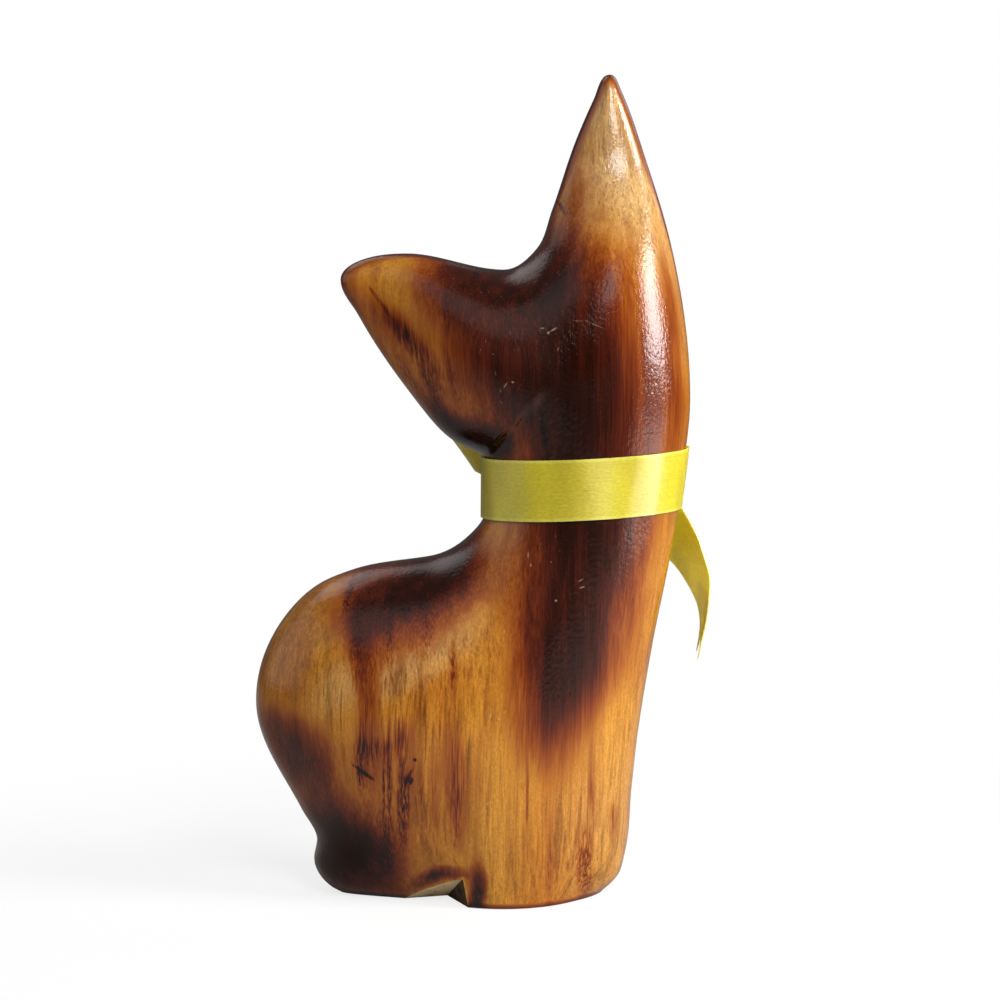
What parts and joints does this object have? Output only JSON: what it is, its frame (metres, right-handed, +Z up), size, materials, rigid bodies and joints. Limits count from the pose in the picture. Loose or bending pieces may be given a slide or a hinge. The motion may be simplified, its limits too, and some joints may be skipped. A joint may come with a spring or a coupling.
{
  "type": "carved cat figurine",
  "caption": "Carved wooden cat figurine, scorched and lacquered, sitting with one ear up, with a satin ribbon tied in a bow round its neck.",
  "frame": {"origin": "on the sawn base that the cat stands on, under the middle of the block", "axes": "+Z up to the tip of the upright ear, +X towards the chest, +Y out of the side with the face and the bow"},
  "size_m": [0.1146, 0.0559, 0.2045],
  "materials": {
    "lacquered_albesia": "gloss lacquer over scorched wood",
    "yellow_satin": "satin"
  },
  "bodies": {
    "root": {"cat_body": "lacquered_albesia", "ribbon_collar": "yellow_satin", "ribbon_knot": "yellow_satin", "ribbon_loop_left": "yellow_satin", "ribbon_loop_right": "yellow_satin", "ribbon_tail_left": "yellow_satin", "ribbon_tail_right": "yellow_satin"}
  },
  "joints": []
}
